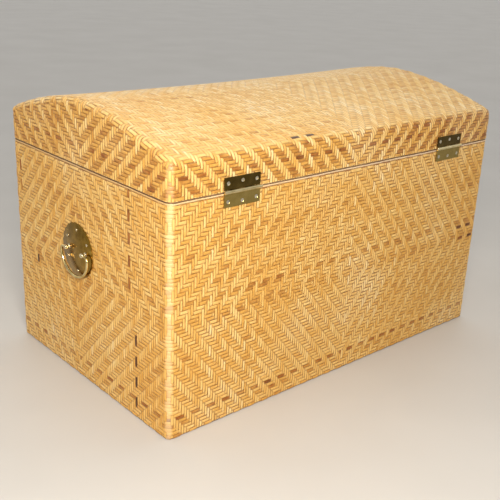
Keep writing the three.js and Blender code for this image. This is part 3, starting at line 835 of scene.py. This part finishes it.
def bind_rim(material):
    """The smooth cane along the body's rim. It lies a little under the edge, so that a dark line
    shows between the body and the lid. It is paler along the front and back than on the ends, and
    palest towards -X."""
    height = RIM_HIGH.z - RIM_LOW.z - RIM_LINE
    strands = Strands("rim_cane", "body", height, material, "body_rim_binding", "rattan_binding",
                      thickness=2.6 * MM)
    place, out, _, wear_and_sheen = joined([side.level_strand(0) for side in body_sides()])
    place[:, 2] = RIM_LOW.z + height / 2
    paler = np.abs(out[:, 1]) * (0.75 - 0.25 * place[:, 0] / HALF_LENGTH)
    strands.add(place, out, 0.15, 0.35 + 0.5 * paler, wear_and_sheen * 0.3, closed=True)
    strands.make()


# Wood and brass


def finish_node(name, material, slot):
    """Gives a CAD node its finish, with softened edges."""
    node = frame["nodes"][name]
    node.data.materials.clear()
    node.data.materials.append(material)
    node.data.shade_smooth()
    node.data.set_sharp_from_angle(angle=math.radians(38))
    bevel = node.modifiers.new("soft edges", "BEVEL")
    bevel.width = 0.2 * MM if slot == "brass" else 0.6 * MM
    bevel.segments = 2
    bevel.limit_method = "ANGLE"
    bevel.angle_limit = math.radians(50)
    bevel.harden_normals = True


def brighten_knuckles(name, metal):
    """The knuckles stand out from a hinge leaf, so they have been rubbed bright."""
    mesh = frame["nodes"][name].data
    mesh.materials.append(metal)
    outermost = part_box(name)[1].y
    front = outermost - KNUCKLE_DEPTH
    for face in mesh.polygons:
        if face.center.y > front:
            face.material_index = 1


def shape(name, points, faces, material, body, node):
    """A smooth brass piece made from points and faces."""
    mesh = bpy.data.meshes.new(name)
    mesh.from_pydata([tuple(point) for point in points], [], faces)
    mesh.shade_smooth()
    mesh.set_sharp_from_angle(angle=math.radians(38))
    add_piece(mesh, material, body, node)


def tube(sections):
    """Faces round and along rings of points, closed at both ends."""
    count = len(sections[0])
    points = [point for ring in sections for point in ring]
    faces = [list(range(count))[::-1], list(range(len(points) - count, len(points)))]
    for row in range(len(sections) - 1):
        for side in range(count):
            after = (side + 1) % count
            here = row * count
            there = here + count
            faces.append([here + side, here + after, there + after, there + side])
    return points, faces


def turned(profile, foot, out, segments=28):
    """A turned shape: radii and heights along a direction from a foot."""
    out = Vector(out)
    first = out.orthogonal().normalized()
    second = out.cross(first)
    sections = []
    for radius, height in profile:
        angles = [2 * math.pi * i / segments for i in range(segments)]
        centre = Vector(foot) + out * height
        sections.append([
            centre + (first * math.cos(angle) + second * math.sin(angle)) * max(radius, 0.01 * MM)
            for angle in angles
        ])
    return tube(sections)


def dome(radius, base, height, steps=6):
    """The profile of a dome that stands on a base."""
    angles = [math.pi / 2 * i / steps for i in range(steps + 1)]
    return [(radius * math.cos(angle), base + height * math.sin(angle)) for angle in angles]


def bent_wire(path, radius, segments=20):
    """A round wire along a path, with its ends rounded over."""
    points = [Vector(point) for point in path]
    start = (points[0] - points[1]).normalized()
    finish = (points[-1] - points[-2]).normalized()
    tips = [math.radians(angle) for angle in (85, 60, 30)]
    stations = [(points[0] + start * radius * math.sin(a), radius * math.cos(a)) for a in tips]
    stations += [(point, radius) for point in points]
    stations += [(points[-1] + finish * radius * math.sin(a), radius * math.cos(a)) for a in tips[::-1]]
    level = (points[-1] - points[0]).cross(points[len(points) // 2] - points[0]).normalized()
    sections = []
    for i, (centre, thickness) in enumerate(stations):
        ahead = stations[min(i + 1, len(stations) - 1)][0] - stations[max(i - 1, 0)][0]
        aside = ahead.cross(level).normalized()
        angles = [2 * math.pi * k / segments for k in range(segments)]
        sections.append([centre + (aside * math.cos(a) + level * math.sin(a)) * thickness for a in angles])
    return tube(sections)


def arc(centre, radius, start, end, steps):
    """Points round an arc in a plane, as (across, up) pairs; angles in degrees."""
    angles = [math.radians(start + (end - start) * i / steps) for i in range(steps + 1)]
    return [(centre[0] + radius[0] * math.cos(a), centre[1] + radius[1] * math.sin(a)) for a in angles]


def end_of(low):
    """1 for what is on the trunk's +X end, and -1 for the other end."""
    return 1 if low.x > 0 else -1


def add_nail(node, body, out, metal):
    """A domed nail: the head's size is the node's, seen from outside."""
    low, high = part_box(node)
    foot = (low + high) / 2
    tip = (low + high) / 2
    axis = 0 if out[0] else 1
    foot[axis] = (low if out[axis] > 0 else high)[axis]
    tip[axis] = (high if out[axis] > 0 else low)[axis]
    length = (tip - foot).length
    radius = (high.z - low.z) / 2
    under_head = length - NAIL_HEAD
    rise = 0.8 * NAIL_HEAD
    profile = [(0.4 * MM, 0), (1 * MM, 1.5 * MM), (1 * MM, under_head), (radius, under_head)]
    points, faces = turned(profile + dome(radius, length - rise, rise), foot, out)
    shape(f"{node}_round", points, faces, metal, body, node)


def add_post(node, metal):
    """A post: a collar on the plate, a neck, and a round head that the bail passes through."""
    low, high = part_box(node)
    end = end_of(low)
    length = high.x - low.x
    foot = Vector((low.x if end > 0 else high.x, (low.y + high.y) / 2, (low.z + high.z) / 2))
    centre = length - POST_HEAD_RADIUS
    profile = [(radius * MM, height * MM) for radius, height in POST_OUTLINE]
    profile.append((POST_NECK_RADIUS, centre - POST_NECK_DROP))
    for angle in np.radians(range(-50, 91, 14)):
        height = centre + POST_HEAD_RADIUS * math.sin(angle)
        profile.append((POST_HEAD_RADIUS * math.cos(angle), height))
    points, faces = turned(profile, foot, (end, 0, 0))
    shape(f"{node}_round", points, faces, metal, "body", node)


def add_bail(node, metal):
    """The D-shaped drop handle, in through one post, round the D and in through the other."""
    low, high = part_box(node)
    radius = (high.x - low.x) / 2
    x = (low.x + high.x) / 2
    middle = (low.y + high.y) / 2
    half = (high.y - low.y) / 2 - radius
    axis = high.z - radius
    corner = BAIL_CORNER
    inner_end = BAIL_INNER_END + radius
    drop = axis - low.z - radius
    shoulder = [(inner_end, 0), (inner_end + 6 * MM, 0), (half - corner - 4 * MM, 0)]
    shoulder += arc((half - corner, -corner), (corner, corner), 90, 0, 8)
    bow = arc((0, -corner), (half, drop - corner), 0, -180, 36)[1:-1]
    other_shoulder = [(-across, up) for across, up in shoulder[::-1]]
    outline = shoulder + bow + other_shoulder
    path = [(x, middle + across, axis + up) for across, up in outline]
    points, faces = bent_wire(path, radius)
    shape(f"{node}_round", points, faces, metal, body_of(frame["nodes"][node])[0], node)


def add_pin(node, metal):
    """A hinge pin with a rounded tip at each end."""
    low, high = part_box(node)
    radius = (high.z - low.z) / 2 * 1.05
    length = high.x - low.x
    foot = Vector((low.x, (low.y + high.y) / 2, (low.z + high.z) / 2))
    tip_radius = radius * PIN_TIP_WIDER
    stub = [(tip_radius * math.cos(angle), PIN_TIP - PIN_TIP * math.sin(angle))
            for angle in np.radians([90, 70, 45, 20, 0])]
    shank = [(tip_radius, 3.2 * MM), (radius, 3.6 * MM), (radius, length - 1.9 * MM)]
    profile = stub + shank + dome(tip_radius, length - PIN_TIP, PIN_TIP)
    points, faces = turned(profile, foot, (1, 0, 0))
    shape(f"{node}_round", points, faces, metal, "body", node)


def add_eye(node, body, metal):
    """A wire eye whose legs go into the plate."""
    low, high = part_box(node)
    radius = (high.z - low.z) / 2
    reach = (high.x - low.x) / 2 - radius
    height = (low.z + high.z) / 2
    front = low.y + radius + reach
    path = [(-reach, high.y, height), (-reach, (high.y + front) / 2, height)]
    path += [(-across, front - up, height) for across, up in arc((0, 0), (reach, reach), 0, 180, 18)]
    path += [(reach, (high.y + front) / 2, height), (reach, high.y, height)]
    points, faces = bent_wire(path, radius)
    shape(f"{node}_round", points, faces, metal, body, node)


def scalloped_outline(radius, cut_at=None):
    """The plate's edge: shallow scallops round a circle, as (across, up) pairs. A half plate stops
    at a straight edge a little above its middle."""
    outline = []
    steps = PLATE_SCALLOPS * STEPS_PER_SCALLOP
    for step in range(steps):
        angle = 2 * math.pi * step / steps
        bulge = abs(math.sin(angle * PLATE_SCALLOPS / 2))
        reach = radius - SCALLOP_DEPTH * (1 - bulge)
        outline.append((reach * math.cos(angle), reach * math.sin(angle)))
    if cut_at is None:
        return outline
    kept = [point for point in outline if point[1] > cut_at]
    width = math.sqrt(radius**2 - cut_at**2) - 1 * MM
    return [(width, cut_at)] + kept + [(-width, cut_at)]


def add_plate(node, body, metal, half=None):
    """A thin brass plate with a scalloped edge and a softened rim. A half is 1 or -1."""
    low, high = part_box(node)
    on_end = high.x - low.x < high.y - low.y
    thickness = (high - low)[0 if on_end else 1]
    radius = (high.x - low.x if not on_end else high.y - low.y) / 2 + 0.4 * MM
    centre = (low + high) / 2
    cut_at = None
    if half:
        pin = (RIM_HIGH.z + LID_LOW.z) / 2
        cut_at = min(abs(low.z - pin), abs(high.z - pin))
        centre.z = pin
    outline = scalloped_outline(radius, cut_at)
    soft = PLATE_SOFTNESS
    rim = [(0.0, 0.0), (thickness - soft, 0.0), (thickness - 0.3 * soft, 0.3 * soft), (thickness, soft)]
    sections = []
    for depth, inset in rim:
        shrink = 1 - inset / radius
        ring = []
        for across, up in outline:
            up = up * shrink if half is None else (up - cut_at) * shrink + cut_at
            if on_end:
                end = end_of(low)
                inner = low.x if end > 0 else high.x
                point = (inner + end * depth, centre.y + end * across * shrink, centre.z + up)
            else:
                point = (centre.x + half * across * shrink, high.y - depth, centre.z + half * up)
            ring.append(Vector(point))
        sections.append(ring)
    points, faces = tube(sections)
    shape(f"{node}_pressed", points, faces, metal, body, node)


def facing(name):
    """Out of the side that a nail is on: the closure is on the front, and a handle on each end."""
    if name.startswith("clasp"):
        return (0, -1, 0)
    return (1, 0, 0) if name.startswith("right") else (-1, 0, 0)


def make_brasses():
    return {
        "plate": brass("plate_brass", (0.25, 0.14, 0.015), (0.48, 0.29, 0.05), 0.24),
        "leaf": brass("leaf_brass", (0.40, 0.29, 0.085), (0.50, 0.37, 0.12), 0.2),
        "dark": brass("darkened_brass", (0.10, 0.065, 0.016), (0.18, 0.12, 0.033), 0.2),
        "knuckle": brass("rubbed_brass", (0.66, 0.52, 0.24), (0.86, 0.74, 0.44), 0.3),
        "screw": brass("screw_brass", (0.80, 0.70, 0.48), (0.95, 0.90, 0.78), 0.2),
        "bright": brass("bright_brass", (0.70, 0.56, 0.30), (0.92, 0.84, 0.62), 0.2),
        "bail": brass("bail_brass", (0.58, 0.42, 0.13), (0.88, 0.73, 0.38), 0.2),
    }


def add_hardware(metals):
    """The brass. The lid's hinge leaves have darkened, and what is round has been rubbed bright."""
    for name in frame["nodes"]:
        body = body_of(frame["nodes"][name])[0]
        if "nail" in name:
            add_nail(name, body, facing(name), metals["bright"])
        elif name.endswith("post"):
            add_post(name, metals["bright"])
        elif name.endswith("bail"):
            add_bail(name, metals["bail"])
        elif name.endswith("pin"):
            add_pin(name, metals["bright"])
        elif name.endswith("eye"):
            add_eye(name, body, metals["bright"])
        elif name.endswith("handle_plate"):
            add_plate(name, body, metals["plate"])
        elif name.endswith("plate"):
            add_plate(name, body, metals["plate"], 1 if body == "lid" else -1)
        elif name.endswith("leaf"):
            finish_node(name, metals["dark" if body == "lid" else "leaf"], "brass")
            brighten_knuckles(name, metals["knuckle"])
        elif "screw" in name:
            finish_node(name, metals["screw"], "brass")


def add_boards(wood):
    for row in frame["record"]["subparts"]:
        if row["material_slot"] == "plywood":
            finish_node(row["node"], wood, "plywood")


# The studio


def add_camera():
    data = bpy.data.cameras.new("camera")
    data.lens = 58.65
    data.sensor_width = 36.0
    camera = bpy.data.objects.new("camera", data)
    bpy.context.scene.collection.objects.link(camera)
    place = Vector((1.1075, 1.2123, 0.7900))
    heading = math.radians(-131.91)
    pitch = math.radians(-20.59)
    roll = math.radians(2.46)
    level = math.cos(pitch)
    ahead = Vector((math.cos(heading) * level, math.sin(heading) * level, math.sin(pitch)))
    turn = ahead.to_track_quat("-Z", "Y").to_matrix() @ Matrix.Rotation(roll, 3, "Z")
    camera.matrix_world = Matrix.Translation(place) @ turn.to_4x4()
    bpy.context.scene.camera = camera


def add_light(name, place, target, size, power, colour):
    data = bpy.data.lights.new(name, "AREA")
    data.shape = "DISK"
    data.size = size
    data.energy = power
    data.color = colour
    light = bpy.data.objects.new(name, data)
    bpy.context.scene.collection.objects.link(light)
    light.location = place
    light.rotation_euler = (Vector(target) - Vector(place)).to_track_quat("-Z", "Y").to_euler()


def add_floor():
    bpy.ops.mesh.primitive_plane_add(size=60)
    floor = bpy.context.object
    floor.name = "floor"
    n = Nodes("pale_floor")
    speckle = n.noise(n.place(), 3.0, 3.0)
    colour = n.ramp(speckle, [(0.3, (0.58, 0.545, 0.49)), (0.7, (0.62, 0.585, 0.53))])
    n.set(Base_Color=colour, Roughness=0.6)
    floor.data.materials.append(n.material)


def add_room():
    """A soft room: pale beyond the trunk, and darker behind the camera."""
    world = bpy.data.worlds.new("studio")
    world.use_nodes = True
    tree = world.node_tree
    direction = tree.nodes.new("ShaderNodeTexCoord").outputs["Generated"]
    facing = tree.nodes.new("ShaderNodeVectorMath")
    facing.operation = "DOT_PRODUCT"
    facing.inputs[1].default_value = (-0.67, -0.74, 0.0)
    tree.links.new(direction, facing.inputs[0])
    strength = tree.nodes.new("ShaderNodeMapRange")
    strength.interpolation_type = "SMOOTHSTEP"
    for name, value in (("From Min", -0.6), ("From Max", 0.75), ("To Min", 0.17), ("To Max", 1.05)):
        strength.inputs[name].default_value = value
    tree.links.new(facing.outputs["Value"], strength.inputs["Value"])
    background = tree.nodes["Background"]
    background.inputs["Color"].default_value = (1.0, 1.0, 1.0, 1)
    tree.links.new(strength.outputs[0], background.inputs["Strength"])
    bpy.context.scene.world = world


def add_studio():
    add_floor()
    add_room()
    middle = (0.1, 0, 0.25)
    add_light("key", (1.0, 1.2, 1.0), (0.2, 0.1, 0.3), 0.5, 25, (1.0, 0.97, 0.93))
    add_light("end fill", (2.4, 0.3, 1.1), middle, 1.0, 7, (1.0, 0.98, 0.96))
    add_light("top", (0.3, 0.5, 2.4), middle, 1.2, 3, (1.0, 0.98, 0.96))
    bpy.context.scene.view_settings.view_transform = "Standard"


add_camera()
add_studio()
woven = woven_rattan()
weave_body(woven)
weave_lid(woven)
bind_rim(pale_rattan())
add_boards(plywood())
add_hardware(make_brasses())
